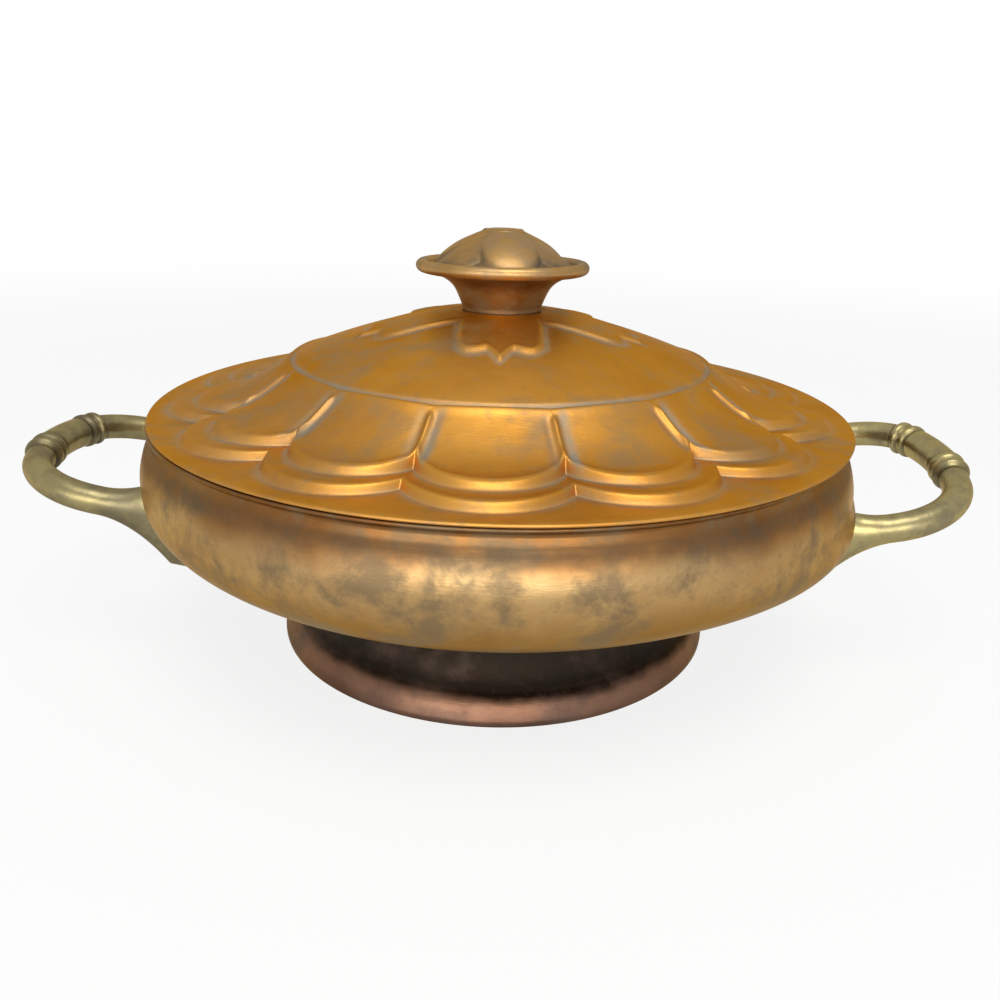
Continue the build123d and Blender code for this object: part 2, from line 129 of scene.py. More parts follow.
soft_lamp("window_front", (-0.1, -1.4, 0.36), (0, 0, 0.06), (2.0, 0.6), 17, (1.0, 0.97, 0.92))
soft_lamp("window_above", (0.1, -0.6, 1.5), (0, 0, 0.08), (1.0, 0.8), 13, (1.0, 0.98, 0.95))

eye_place = (0.00125, -0.313, 0.1641)
eye_dip, eye_roll = 0.3595, 0.027
film_width, lens_share = 36.0, 0.861
eye = bpy.data.cameras.new("eye")
eye.sensor_width = film_width
eye.lens = film_width * lens_share
eye.clip_start = 0.01
camera = bpy.data.objects.new("eye", eye)
bpy.context.collection.objects.link(camera)
camera.matrix_world = (
    Matrix.Translation(eye_place)
    @ Matrix.Rotation(math.pi / 2 - eye_dip, 4, "X")
    @ Matrix.Rotation(eye_roll, 4, "Z")
)
bpy.context.scene.camera = camera
bpy.context.scene.view_settings.view_transform = "Standard"


# Bowl: one sheet of copper, raised by hammer to a full belly, drawn in to a neck and turned out at
# the mouth. Outside it is old rubbed copper, redder on the neck and dull below, partly tarnish and partly
# painted shade; a painted highlight runs round the shoulder. Inside it is tinned.
bowl_wall, bowl_bottom, bowl_columns = 1.2, 24.5, 288
bowl_outline = [
    (0.0, bowl_bottom), (25.0, bowl_bottom), (50.0, bowl_bottom),
    (61.0, 25.8), (72.2, 28.1), (86.0, 32.7), (99.0, 38.0),
    (108.0, 42.6), (115.8, 47.5), (121.4, 53.2), (124.9, 59.4), (126.3, 66.0), (126.0, 71.0),
    (124.2, 77.0), (122.3, 80.0), (121.5, 82.4),
]


def smooth_line(points, steps):
    """Cubic curve through the points (Catmull-Rom), with the given steps between each pair."""
    points = np.array(points, dtype=float)
    ends = np.vstack([2 * points[0] - points[1], points, 2 * points[-1] - points[-2]])
    p0, p1, p2, p3 = ends[:-3, None], ends[1:-2, None], ends[2:-1, None], ends[3:, None]
    t = np.linspace(0, 1, steps, endpoint=False)[None, :, None]
    line = 0.5 * (
        2 * p1
        + (p2 - p0) * t
        + (2 * p0 - 5 * p1 + 4 * p2 - p3) * t ** 2
        + (3 * p1 - p0 - 3 * p2 + p3) * t ** 3
    )
    return np.vstack([line.reshape(-1, points.shape[1]), points[-1]])


def inner_line(line, wall):
    """The line moved by wall to the left of its direction of travel, which is the sheet's inside."""
    along = np.gradient(line, axis=0)
    along /= np.linalg.norm(along, axis=1)[:, None]
    return line + wall * np.stack([-along[:, 1], along[:, 0]], axis=1)


def surface(name, grid, soil_and_shade, wrap_rows=False, flip=False):
    """Object from a grid of points in mm, rows by columns, whose columns close to a ring, joined by quads.

    Rows that are one point, as at a pole, are merged to it, so the surface is closed there. A
    point attribute, from 0 to 1, says how much dirt and painted shade a point holds."""
    rows, columns, _ = grid.shape
    index = np.arange(rows * columns).reshape(rows, columns)
    for row in (0, rows - 1):
        if np.ptp(grid[row], axis=0).max() < 1e-6:
            index[row] = index[row, 0]
    down = np.roll(index, -1, axis=0) if wrap_rows else index[1:]
    up = index if wrap_rows else index[:-1]
    quads = np.stack([up, np.roll(up, -1, 1), np.roll(down, -1, 1), down], axis=-1).reshape(-1, 4)
    if flip:
        quads = quads[:, ::-1]
    used, packed = np.unique(quads, return_inverse=True)
    packed = packed.reshape(quads.shape)
    faces = [list(dict.fromkeys(face)) for face in packed.tolist()]
    mesh = bpy.data.meshes.new(name)
    mesh.from_pydata((grid.reshape(-1, 3)[used] / 1000.0).tolist(), [], faces)
    layer = mesh.attributes.new("soil_and_shade", "FLOAT", "POINT")
    held = np.broadcast_to(soil_and_shade, grid.shape[:2]).reshape(-1)[used]
    layer.data.foreach_set("value", np.ascontiguousarray(held, dtype=np.float32))
    mesh.shade_smooth()
    piece = bpy.data.objects.new(name, mesh)
    bpy.context.collection.objects.link(piece)
    return piece


def turned(line, count=256, wobble=0.0, waves=((3, 0.7), (5, 0.2), (7, 1.9))):
    """The line of (radius, height) turned round Z; a few slow waves pull it in, never out."""
    angle = np.linspace(0, 2 * np.pi, count, endpoint=False)
    pull = sum(np.cos(n * angle + 6 * phase) for n, phase in waves) / len(waves)
    radius = line[:, :1] * (1 - wobble * (0.5 + 0.5 * pull[None, :]))
    height = np.repeat(line[:, 1:], count, axis=1)
    return np.stack([radius * np.cos(angle), radius * np.sin(angle), height], axis=-1)


def step(x):
    """Smooth step from 0 at x = -1 to 1 at x = 1."""
    x = np.clip(0.5 + 0.5 * x, 0, 1)
    return x * x * (3 - 2 * x)


def hump(x):
    """Smooth hump: 1 at x = 0, about a third at x = 1 and -1, and nearly 0 beyond 2."""
    return np.exp(-(x ** 2))


def old_metal(name, clean, worn, dull, soil_and_shade_colour, rough, patch, zones=None,
              brush=(1.0, 1.0, 6.0), cover=0.45, dent=0.10, edge=(0.85, 0.68, 0.45)):
    """Old hand-worked metal: clean and worn tones in patches, dull cloudy tarnish over part of it.

    Dirt, and on some pieces painted shade, darken it where a point attribute says so. Zones are (height
    in mm, colour) pairs that tint the metal by height, on some pieces to paint highlight and shade. Fine
    scratches run across the axis whose brush value is largest.
    Cover says how far the tarnish spreads, dent how deep the hammer marks are, and edge is the
    metal's specular tint."""
    material = bpy.data.materials.new(name)
    material.use_nodes = True
    nodes, links = material.node_tree.nodes, material.node_tree.links
    shader = nodes["Principled BSDF"]
    place = nodes.new("ShaderNodeTexCoord").outputs["Object"]

    def noise(scale, detail=4.0, roughness=0.55, stretch=None, twist=0.0):
        source = place
        if stretch:
            mapping = nodes.new("ShaderNodeMapping")
            mapping.inputs["Scale"].default_value = stretch
            links.new(place, mapping.inputs["Vector"])
            source = mapping.outputs["Vector"]
        texture = nodes.new("ShaderNodeTexNoise")
        texture.inputs["Scale"].default_value = scale
        texture.inputs["Detail"].default_value = detail
        texture.inputs["Roughness"].default_value = roughness
        texture.inputs["Distortion"].default_value = twist
        links.new(source, texture.inputs["Vector"])
        return texture.outputs["Fac"]

    def ramp(value, *stops):
        node = nodes.new("ShaderNodeValToRGB")
        band = node.color_ramp
        while len(band.elements) < len(stops):
            band.elements.new(0.5)
        for element, (position, colour) in zip(band.elements, stops):
            element.position = position
            element.color = colour if len(colour) == 4 else (*colour, 1.0)
        links.new(value, node.inputs["Fac"])
        return node.outputs["Color"]

    def mix(kind, factor, a, b):
        node = nodes.new("ShaderNodeMix")
        node.data_type = "RGBA"
        node.blend_type = kind
        for socket, value in ((node.inputs[0], factor), (node.inputs[6], a), (node.inputs[7], b)):
            if isinstance(value, (int, float)):
                socket.default_value = value
            elif isinstance(value, tuple):
                socket.default_value = (*value, 1.0)
            else:
                links.new(value, socket)
        return node.outputs[2]

    def maths(kind, a, b):
        node = nodes.new("ShaderNodeMath")
        node.operation = kind
        node.use_clamp = True
        for socket, value in ((node.inputs[0], a), (node.inputs[1], b)):
            if isinstance(value, (int, float)):
                socket.default_value = value
            else:
                links.new(value, socket)
        return node.outputs[0]

    black, white = (0, 0, 0), (1, 1, 1)
    colour = mix("MIX", ramp(noise(patch, 5.0, 0.6, twist=0.4), (0.36, black), (0.64, white)), clean, worn)
    if zones:
        split = nodes.new("ShaderNodeSeparateXYZ")
        links.new(place, split.inputs[0])
        waver = nodes.new("ShaderNodeMath")
        waver.operation = "MULTIPLY_ADD"
        links.new(noise(38.0, 3.0), waver.inputs[0])
        waver.inputs[1].default_value = 0.010
        links.new(split.outputs["Z"], waver.inputs[2])
        low, high = zones[0][0] / 1000.0, zones[-1][0] / 1000.0
        level = nodes.new("ShaderNodeMapRange")
        level.inputs["From Min"].default_value = low + 0.005
        level.inputs["From Max"].default_value = high + 0.005
        links.new(waver.outputs[0], level.inputs["Value"])
        stops = [((z / 1000.0 - low) / (high - low), tint) for z, tint in zones]
        colour = mix("MULTIPLY", 1.0, colour, ramp(level.outputs[0], *stops))
    cloud = ramp(noise(patch * 1.7, 6.0, 0.68, twist=0.2), (cover, white), (cover + 0.16, black))
    spots = ramp(noise(patch * 9.0, 4.0, 0.7), (0.32, white), (0.44, black))
    tarnish = maths("MAXIMUM", maths("MULTIPLY", cloud, 0.8), maths("MULTIPLY", spots, 0.35))
    colour = mix("MIX", tarnish, colour, dull)
    # The point attribute darkens the colour with dirt and, on some pieces, with painted shade.
    soil_and_shade = nodes.new("ShaderNodeAttribute")
    soil_and_shade.attribute_name = "soil_and_shade"
    patchy = ramp(noise(patch * 3.1, 4.0, 0.6), (0.28, (0.35, 0.35, 0.35)), (0.62, white))
    grime_and_shade = maths("MULTIPLY", soil_and_shade.outputs["Fac"], patchy)
    colour = mix("MIX", grime_and_shade, colour, soil_and_shade_colour)
    links.new(colour, shader.inputs["Base Color"])
    shader.inputs["Specular Tint"].default_value = (*edge, 1.0)

    foul_and_shade = maths("MAXIMUM", maths("MULTIPLY", tarnish, 0.55), grime_and_shade)
    bright = nodes.new("ShaderNodeMath")
    bright.operation = "SUBTRACT"
    bright.inputs[0].default_value = 1.0
    links.new(maths("MULTIPLY", foul_and_shade, 0.45), bright.inputs[1])
    links.new(bright.outputs[0], shader.inputs["Metallic"])
    scratch = noise(260.0, 3.0, 0.6, stretch=brush)
    gloss = nodes.new("ShaderNodeMapRange")
    gloss.inputs["To Min"].default_value = rough[0]
    gloss.inputs["To Max"].default_value = rough[1]
    matt = maths("ADD", maths("MULTIPLY", scratch, 0.45), maths("MULTIPLY", foul_and_shade, 0.7))
    links.new(matt, gloss.inputs["Value"])
    links.new(gloss.outputs[0], shader.inputs["Roughness"])

    fine = nodes.new("ShaderNodeBump")
    fine.inputs["Strength"].default_value = 0.25
    fine.inputs["Distance"].default_value = 0.0002
    links.new(scratch, fine.inputs["Height"])
    dents = nodes.new("ShaderNodeBump")
    dents.inputs["Strength"].default_value = dent
    dents.inputs["Distance"].default_value = 0.003
    links.new(noise(62.0, 2.0, 0.5), dents.inputs["Height"])
    links.new(fine.outputs[0], dents.inputs["Normal"])
    links.new(dents.outputs[0], shader.inputs["Normal"])
    return material


def tinned(name, tint, rough):
    """Wiped tin or solder: dull grey metal with soft smears and small pits."""
    worn, dull, soil_and_shade_colour = (tuple(share * c for c in tint) for share in (0.8, 0.55, 0.35))
    return old_metal(name, tint, worn, dull, soil_and_shade_colour, rough=rough, patch=40.0, dent=0.15, edge=(0.9, 0.9, 0.9))


mouth_outside = [(121.8, 83.6), (122.4, 84.0), (123.0, 84.05)]
mouth_edge = [(123.0, 85.1), (122.2, 85.2), (121.2, 84.8), (120.6, 84.0)]
bowl_outside = np.vstack([smooth_line(bowl_outline, 6), mouth_outside])
bowl_inside = inner_line(smooth_line(bowl_outline, 6), bowl_wall)
bowl_line = np.vstack([bowl_outside, mouth_edge, bowl_inside[::-1]])
bowl_line[:, 0] = np.maximum(bowl_line[:, 0], 0.0)
bowl_line[-1] = (0.0, bowl_bottom + bowl_wall)
# Painted shade: the dark colour goes in a band round the neck crease and over the belly below 33 mm, where it
# curves in towards the foot; the tinned inside gets a little dirt.
neck_shade_height, belly_shade_top = 78.0, 33.0
bowl_dirt_and_shade = step((np.abs(bowl_line[:, 1] - neck_shade_height) - 2.4) / -1.8) * 0.55
bowl_dirt_and_shade += step((belly_shade_top - bowl_line[:, 1]) / 4.0) * 0.8
bowl_dirt_and_shade[len(bowl_outside):] = 0.15
bowl_grid = turned(bowl_line, bowl_columns, wobble=0.001)
# The real bowl isn't round: low on the belly it is fuller at the front right, and a little at the
# front left. Each bulge has its share of the radius, its direction and its spread in degrees.
bulges = ((0.062, -25, 28), (0.016, -155, 25))
bulge_foot, bulge_height = 25, 41
bowl_turn = np.degrees(np.arctan2(bowl_grid[..., 1], bowl_grid[..., 0]))
up_belly = np.clip((bowl_grid[..., 2] - bulge_foot) / bulge_height, 0, 1)
low_belly = np.sin(np.pi * up_belly ** 0.72) ** 0.8
full_side = sum(share * hump((bowl_turn - way) / spread) for share, way, spread in bulges)
bowl_grid[..., :2] *= (1 + full_side * low_belly)[..., None]
bowl_shell = surface("bowl_shell", bowl_grid, bowl_dirt_and_shade[:, None])
# The zones paint light by height: shade darkening the belly towards the foot, a pale highlight band round the
# shoulder from 64 to 71 mm, and shade darkening the neck under the lid, whose redder tone is the copper's
# own.
bowl_copper = old_metal(
    "bowl_copper", clean=(0.42, 0.255, 0.090), worn=(0.35, 0.190, 0.062), dull=(0.165, 0.118, 0.066),
    soil_and_shade_colour=(0.045, 0.034, 0.025), rough=(0.33, 0.55), patch=36.0, brush=(1.0, 1.0, 7.0), cover=0.38, dent=0.16,
    zones=[(28, (0.26, 0.235, 0.26)), (38, (0.40, 0.36, 0.38)), (48, (0.64, 0.59, 0.58)),
           (57, (0.90, 0.88, 0.86)), (64, (1.18, 1.26, 1.45)), (71, (1.15, 1.26, 1.60)),
           (77, (0.74, 0.60, 0.56)), (85, (0.52, 0.39, 0.34))],
)
bowl_tin = tinned("bowl_tin", (0.46, 0.45, 0.42), (0.38, 0.6))
bowl_shell.data.materials.append(bowl_copper)
bowl_shell.data.materials.append(bowl_tin)
face_row = np.zeros(len(bowl_shell.data.polygons), dtype=np.int32)
face_row[(len(bowl_outside) + len(mouth_edge) - 1) * bowl_columns:] = 1
bowl_shell.data.polygons.foreach_set("material_index", face_row)
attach(bowl_shell, "tureen")
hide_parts("bowl")


# Foot: a spun copper pedestal with a folded hem, soldered under the bowl and open below. Its edge is
# rubbed to pinkish copper, and the wall above is painted almost black as the belly's shadow.
foot_outline = [
    (82.2, 0.0), (82.2, 1.6), (81.6, 3.2), (80.3, 6.1), (78.6, 8.4), (76.9, 10.0), (74.6, 12.6),
    (72.8, 16.2), (71.8, 20.0), (71.25, 24.0), (71.2, 27.6),
]
foot_wall, hem_radius, hem_top, dark_from = 1.2, 79.6, 3.4, 9.8
foot_outer = smooth_line(foot_outline, 6)
foot_inner = inner_line(foot_outer, foot_wall)
over_hem = foot_inner[foot_inner[:, 1] > hem_top + 0.2]
foot_line = np.vstack([foot_outer, over_hem[::-1], [(hem_radius, hem_top), (hem_radius, 0.0)]])
# Painted shadow: the wall above dark_from and the inside of the hem take the near-black colour, and a little
# dirt lies everywhere.
foot_shade_and_dirt = step((foot_line[:, 1] - dark_from) / 1.6) * 0.85 + 0.1
foot_shade_and_dirt[len(foot_outer):] = 0.7
foot_grid = turned(foot_line, 256, wobble=0.003, waves=((2, 0.1), (5, 0.6)))
foot_shell = surface("foot_shell", foot_grid, foot_shade_and_dirt[:, None], wrap_rows=True)
# The zones paint the shadow too, almost black above 9.5 mm, and darken the rim towards its bottom edge.
foot_copper = old_metal(
    "foot_copper", clean=(0.40, 0.225, 0.150), worn=(0.29, 0.150, 0.100), dull=(0.12, 0.075, 0.060),
    soil_and_shade_colour=(0.010, 0.008, 0.007), rough=(0.36, 0.62), patch=26.0, brush=(1.0, 1.0, 9.0), cover=0.38, dent=0.10,
    zones=[(0, (0.30, 0.30, 0.31)), (4, (0.62, 0.60, 0.58)), (7, (0.66, 0.64, 0.60)),
           (9.5, (0.08, 0.08, 0.08)), (28, (0.04, 0.04, 0.04))],
)
foot_shell.data.materials.append(foot_copper)
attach(foot_shell, "tureen")
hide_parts("foot_ring")
solder = tinned("tin_solder", (0.42, 0.41, 0.39), (0.4, 0.65))
for node in ("foot_solder", "collar_solder"):
    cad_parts[node].data.materials.clear()
    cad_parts[node].data.materials.append(solder)


# Handles: two brass castings from one pattern. Each is a round loop with a thicker grip between two
# pairs of ring beads, and flares at both roots, where a tenon goes through the belly and is riveted.
rod, grip, bead, bead_half, groove = 4.9, 5.7, 1.5, 1.9, 0.35
grip_half, bead_first, bead_pitch = 11.5, 13.4, 4.8
loop_length, loop_half_width, bow_radius, bow_angle, arm_taper = 54.0, 38.9, 80.0, 14.0, 6.0
root_tall, root_wide, root_flare = 15.0, 6.0, 22.0
handle_rise, handle_height, belly_radius, handle_overhang = 15.0, 54.0, 126.5, 38.75
# Each casting's turn round the bowl, twist and lift, how far its grip sits to one side, and how much darker
# it is all over.
handle_places = {
    "handle_right": (-1.5, 6.5, 0.6, 8.0, 0.0),
    "handle_left": (181.5, 0.0, -1.6, -5.0, 0.35),
}


def half_loop(steps):
    """Half of the loop's middle line from the grip to a root: the bow's arc, the bend's arc, the arm.

    Returns points (outwards, along the grip), and their distance from the grip's middle."""
    bow, taper = math.radians(bow_angle), math.radians(arm_taper)
    bend = (loop_half_width - bow_radius * math.sin(bow)) / (1 - math.sin(bow))
    a = np.linspace(0, bow, steps)
    first = np.stack([loop_length - bow_radius + bow_radius * np.cos(a), bow_radius * np.sin(a)], 1)
    centre = first[-1] - bend * np.array([math.cos(bow), math.sin(bow)])
    b = np.linspace(bow, math.pi / 2 + taper, 2 * steps)[1:]
    second = centre + bend * np.stack([np.cos(b), np.sin(b)], 1)
    heading = np.array([-math.cos(taper), -math.sin(taper)])
    into_bowl = 16.0
    reach = second[-1, 0] / math.cos(taper) + into_bowl
    third = second[-1] + heading * np.linspace(0, reach, 2 * steps)[1:, None]
    line = np.vstack([first, second, third])
    distance = np.concatenate([[0], np.cumsum(np.linalg.norm(np.diff(line, axis=0), axis=1))])
    return line, distance


def make_handle(name, turn, twist, lift, shift, overall_dark):
    """The loop's middle line with an oval ring round each point, cut off where it meets the belly."""
    half, distance = half_loop(40)
    even = np.arange(0.0, distance[-1], 0.55)
    half = np.stack([np.interp(even, distance, half[:, k]) for k in (0, 1)], 1)
    line = np.vstack([half[:0:-1] * (1, -1), half])
    along = np.concatenate([-even[:0:-1], even])
    flare = np.clip(1 - line[:, 0] / root_flare, 0, 1.15) ** 1.8
    along = np.abs(along - shift)
    swell = rod + (grip - rod) * step((grip_half - along) / 2.2)
    for spot in (bead_first, bead_first + bead_pitch):
        swell = swell + bead * np.sqrt(np.clip(1 - ((along - spot) / bead_half) ** 2, 0, 1))
    grooves = [bead_first + bead_pitch * k for k in (-0.5, 0.5, 1.5)]
    for spot in grooves:
        swell = swell - groove * hump((along - spot) / 0.9)
    wide = swell + (root_wide - rod) * flare
    tall = swell + (root_tall - rod) * flare
    tangent = np.gradient(line, axis=0)
    tangent /= np.linalg.norm(tangent, axis=1)[:, None]
    side = np.stack([tangent[:, 1], -tangent[:, 0]], 1)
    count = 48
    angle = np.linspace(0, 2 * np.pi, count, endpoint=False)
    flat = line[:, None] + side[:, None] * (wide[:, None] * np.cos(angle))[..., None]
    height = tall[:, None] * np.sin(angle)
    local = np.concatenate([flat, height[..., None]], axis=2)
    rise, turn, twist = math.radians(handle_rise), math.radians(turn), math.radians(twist)
    place = (
        Matrix.Rotation(turn, 3, "Z") @ Matrix.Rotation(twist, 3, "X") @ Matrix.Rotation(-rise, 3, "Y")
    )
    reach = belly_radius + handle_overhang - loop_length * math.cos(rise)
    origin = np.array([reach * math.cos(turn), reach * math.sin(turn), handle_height + lift])
    grid = local @ np.array(place).T + origin
    steps, flat_spans = 12, 2
    wall = smooth_line(bowl_outline, steps)[steps * flat_spans:]
    limit = np.interp(grid[..., 2], wall[:, 1], wall[:, 0]) - 0.5
    grid[..., :2] *= np.maximum(limit / np.hypot(grid[..., 0], grid[..., 1]), 1.0)[..., None]
    caps = [grid[:1].mean(axis=1, keepdims=True), grid[-1:].mean(axis=1, keepdims=True)]
    grid = np.vstack([np.repeat(caps[0], count, 1), grid, np.repeat(caps[1], count, 1)])
    near_bead = sum(hump((along - spot) / 1.1) for spot in grooves)
    # Painted shade darkens the lower half of the rod, more on the darker casting; dirt lies in the grooves by
    # the beads.
    soiled_and_shaded = overall_dark + (0.25 + overall_dark) * np.clip(-np.sin(angle), 0, 1)[None, :] + 0.9 * near_bead[:, None]
    soiled_and_shaded = np.vstack([soiled_and_shaded[:1], soiled_and_shaded, soiled_and_shaded[-1:]])
    return surface(name, grid, np.clip(soiled_and_shaded, 0, 1))


handle_brass = old_metal(
    "handle_brass", clean=(0.46, 0.385, 0.175), worn=(0.34, 0.285, 0.130), dull=(0.19, 0.165, 0.100),
    soil_and_shade_colour=(0.070, 0.060, 0.040), rough=(0.27, 0.5), patch=34.0, brush=(4.0, 1.0, 1.0), cover=0.40, dent=0.30,
)
for node, place in handle_places.items():
    casting = make_handle(node + "_casting", *place)
    casting.data.materials.append(handle_brass)
    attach(casting, "tureen")
    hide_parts(node)

inner_brass = old_metal(
    "inner_brass", clean=(0.42, 0.32, 0.13), worn=(0.34, 0.26, 0.11), dull=(0.17, 0.14, 0.08),
    soil_and_shade_colour=(0.07, 0.055, 0.035), rough=(0.34, 0.55), patch=60.0,
)
for node in ("handle_roves_right", "handle_roves_left", "knob_stud", "knob_washer", "knob_nut"):
    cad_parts[node].data.materials.clear()
    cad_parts[node].data.materials.append(inner_brass)


# Lid: one sheet of copper worked from behind. A flat brim, two scalloped steps, fourteen panels
# between narrow ribs, a grooved ring, and a low dome with a flower of five petals round the knob.
panels, panel_turn = 14, math.radians(-1.15)
brim_top, lid_wall, terrace, stud_hole = 86.5, 1.0, 2.3, 2.65
outer_cusp, outer_bulge, inner_cusp, inner_bulge = 103.0, 115.5, 92.3, 106.0
ring_radius, dome_top, dome_drop, dome_flat, dome_span = 74.3, 118.8, 15.6, 13.7, 60.0
rib_width, rib_start = 0.85, 78.4
petal_half, petal_reach, petal_point = 13.6, 43.6, 8.6
flare_line = [
    (73.7, 103.3), (76.1, 101.9), (79.6, 99.3), (84.0, 96.4), (88.0, 94.1), (92.3, 92.3),
    (98.0, 91.1), (106.0, 90.4), (112.0, 90.1),
]


def scallop(angle, cusp, bulge):
    """Distance from the axis to a round lobe through both cusps and the bulge, at angle from its middle."""
    half = math.pi / panels
    centre = (bulge ** 2 - cusp ** 2) / (2 * (bulge - cusp * math.cos(half)))
    return centre * np.cos(angle) + np.sqrt((bulge - centre) ** 2 - (centre * np.sin(angle)) ** 2)


def panel_place(angle):
    """Angle from the middle of the nearest panel, and how far both of its scallops reach there."""
    pitch = 2 * math.pi / panels
    across = (angle + math.pi / 2 - panel_turn + pitch / 2) % pitch - pitch / 2
    return across, scallop(across, inner_cusp, inner_bulge), scallop(across, outer_cusp, outer_bulge)


def petal_depth(radius, angle):
    """Depth inside the nearest petal, in mm: a straight tongue with two lobes and a point at its end."""
    fifth = 2 * math.pi / 5
    turned_angle = (angle + math.pi / 2 + fifth / 2) % fifth - fifth / 2
    along, across = radius * np.cos(turned_angle), np.abs(radius * np.sin(turned_angle))
    lobes = petal_reach + 1.9 * np.sin(np.pi * np.clip((across - 3.6) / 10.4, 0, 1))
    point = petal_point * np.clip(1 - across / 4.6, 0, 1) ** 1.25
    side = petal_half - across
    end = (lobes + point - along) * 0.75
    round_off = 3
    corner = np.hypot(np.minimum(side - round_off, 0), np.minimum(end - round_off, 0))
    return np.minimum(np.minimum(side, end), round_off - corner)


def lid_height(radius, angle):
    """Height of the lid's upper side: brim, both scalloped steps, ribs, grooved ring, dome and petals."""
    half = math.pi / panels
    across, inner, outer = panel_place(angle)
    flare = smooth_line(flare_line, 12)
    slope = np.interp(radius, flare[:, 0], flare[:, 1])
    pillow = 0.55 * (1 - (across / half) ** 2) * np.clip((inner - radius) / 14, 0, 1) ** 0.7
    rib_gap = np.abs(radius * np.sin(half - np.abs(across)))
    rib_end = step((inner_cusp + 1.4 - radius) / 1.6) * step((radius - rib_start) / 1.8)
    fade = np.clip((inner_cusp - radius) / 17, 0, 1)
    rib = (0.6 + 0.9 * fade) * hump(rib_gap / rib_width) - 0.35 * hump((rib_gap - 2.2) / 1.1)
    lip = 0.45 * hump((radius - (inner - 2.6)) / 1.6)
    panel = slope - brim_top - terrace + pillow + rib * rib_end + lip
    height = brim_top + terrace * step((outer - radius) / 1.3) + panel * step((inner - radius) / 1.3)
    height += 0.25 * hump((radius - (outer - 2.4)) / 1.5)
    dome = dome_top - dome_drop * np.clip((radius - dome_flat) / dome_span, 0, 1.02) ** 1.5
    inner_side = step((ring_radius - 0.1 - radius) / 0.7)
    height = height * (1 - inner_side) + dome * inner_side
    height -= 0.95 * hump((radius - ring_radius) / 0.75)
    height += 0.35 * hump((radius - ring_radius - 1.9) / 1.1)
    depth = petal_depth(radius, angle)
    petals = step(depth) * (0.85 + 0.35 * hump((depth - 1.8) / 1.3))
    height += petals * step((radius - 14.5) / 1.5)
    return height


def lid_tarnish_and_shade(radius, angle):
    """How much tarnish the lid's hollows hold, from 0 to 1, and its left side, which is duller; one side of
    each rib also gets painted shade.

    It stays beside the ribs, at the feet of both steps, in the ring's groove and round the petals."""
    half = math.pi / panels
    across, inner, outer = panel_place(angle)
    rib_gap = radius * np.sin(half - np.abs(across))
    on_panel = step((inner - 1.0 - radius) / 2) * step((radius - 77) / 2)
    # Painted shade: each rib's shaded side gets more of the dark colour than its lit side.
    rib_shade_side = 0.45 + 0.55 * step(-across / 0.05)
    rib_tarnish_and_shade = 1.2 * hump((rib_gap - 2.7) / 1.5) * on_panel * rib_shade_side
    at_cusp = 0.5 + 0.6 * (np.abs(across) / half) ** 2
    by_inner, by_outer = 0.9 * hump((radius - inner - 1.6) / 1.3), 0.75 * hump((radius - outer - 1.7) / 1.3)
    by_steps = (by_inner + by_outer) * at_cusp
    in_groove = 0.9 * hump((radius - ring_radius + 0.4) / 0.9)
    by_petal = 0.75 * hump((petal_depth(radius, angle) + 1.3) / 1.1) * step((54 - radius) / 2)
    on_left = 0.34 * np.clip(-np.cos(angle) - 0.25, 0, 1) * step((radius - 79) / 3) * step((118 - radius) / 4)
    return np.clip(rib_tarnish_and_shade + by_steps + in_groove + by_petal + on_left, 0, 1)


# The columns of points lie closer together near the ribs, and the rows near the steps and the ring.
spread = np.linspace(-1, 1, 43)[:-1]
panel_angles = (1.35 * spread - 0.35 * spread ** 3) * math.pi / panels
lid_angles = (np.arange(panels)[:, None] * 2 * math.pi / panels + panel_angles[None, :]).reshape(-1)
lid_angles = lid_angles - math.pi / 2 + panel_turn
lid_across = np.tile(panel_angles, panels)
inner_edge = scallop(lid_across, inner_cusp, inner_bulge)
outer_edge = scallop(lid_across, outer_cusp, outer_bulge)
lid_radius, lid_off_centre, edge_round = 123.4, 0.8, 0.5
lid_edge = lid_radius + lid_off_centre * np.cos(lid_angles)
spans = [
    (stud_hole, 14.0, 6), (14.0, 26.0, 10), (26.0, 55.0, 42), (55.0, 72.5, 9), (72.5, 79.0, 16),
    (79.0, inner_edge - 3.4, 10), (inner_edge - 3.4, inner_edge + 2.6, 14),
    (inner_edge + 2.6, outer_edge - 3.2, 4), (outer_edge - 3.2, outer_edge + 2.8, 13),
    (outer_edge + 2.8, lid_edge - 0.6, 5),
]
lid_rows = np.vstack([
    start + (end - start) * np.linspace(0, 1, count, endpoint=False)[:, None] * np.ones_like(lid_angles)
    for start, end, count in spans
] + [lid_edge[None, :] - 0.6])
top = lid_height(lid_rows, lid_angles)
edge_turn = np.radians([50.0, 10.0, -40.0, -80.0])[:, None]
edge_rows = lid_edge - edge_round + edge_round * np.cos(edge_turn)
edge_top = brim_top - edge_round + edge_round * np.sin(edge_turn) * np.ones_like(lid_angles)
under_rows = lid_rows[::-4][1:]
further_out = lid_height(under_rows + 1.0, lid_angles)
under = np.minimum(lid_height(under_rows, lid_angles) - lid_wall, further_out - 0.4)
under = np.maximum(under, brim_top - lid_wall)
hole_rows = np.full((1, len(lid_angles)), stud_hole)
hole_bottom = np.full((1, len(lid_angles)), dome_top - lid_wall)
all_rows = np.vstack([lid_rows, edge_rows, under_rows, hole_rows])
all_heights = np.vstack([top, edge_top, under, hole_bottom])
lid_soil_and_shade = np.full(all_rows.shape, 0.15)
lid_soil_and_shade[:len(lid_rows)] = lid_tarnish_and_shade(lid_rows, lid_angles)
lid_grid = np.stack([all_rows * np.cos(lid_angles), all_rows * np.sin(lid_angles), all_heights], -1)
lid_sheet = surface("lid_sheet", lid_grid, lid_soil_and_shade, wrap_rows=True, flip=True)
